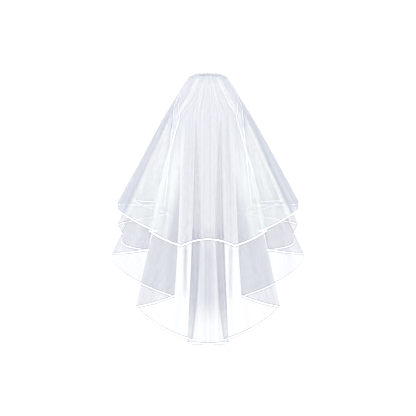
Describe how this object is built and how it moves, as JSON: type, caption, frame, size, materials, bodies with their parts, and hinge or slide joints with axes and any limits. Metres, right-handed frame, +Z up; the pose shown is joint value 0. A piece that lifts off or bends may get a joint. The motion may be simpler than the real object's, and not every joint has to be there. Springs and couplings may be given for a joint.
{
  "type": "bridal veil",
  "caption": "Two-tier bridal veil of sheer tulle gathered on a hair comb, short over long, with satin ribbon edging, hanging in folds down the back",
  "frame": {"origin": "middle of the top of the comb's spine, where the veil is held in the hair", "axes": "+Z up; the back of the veil faces -Y; +X is to the right of someone who stands behind it"},
  "size_m": [0.558, 0.3103, 0.7843],
  "materials": {
    "sheer_tulle": "sheer, matt net",
    "white_satin": "soft satin sheen",
    "clear_plastic": "glossy, clear"
  },
  "bodies": {
    "root": {"upper_tier": "sheer_tulle", "lower_tier": "sheer_tulle", "upper_ribbon": "white_satin", "lower_ribbon": "white_satin", "gather_binding": "white_satin", "comb": "clear_plastic"}
  },
  "joints": []
}
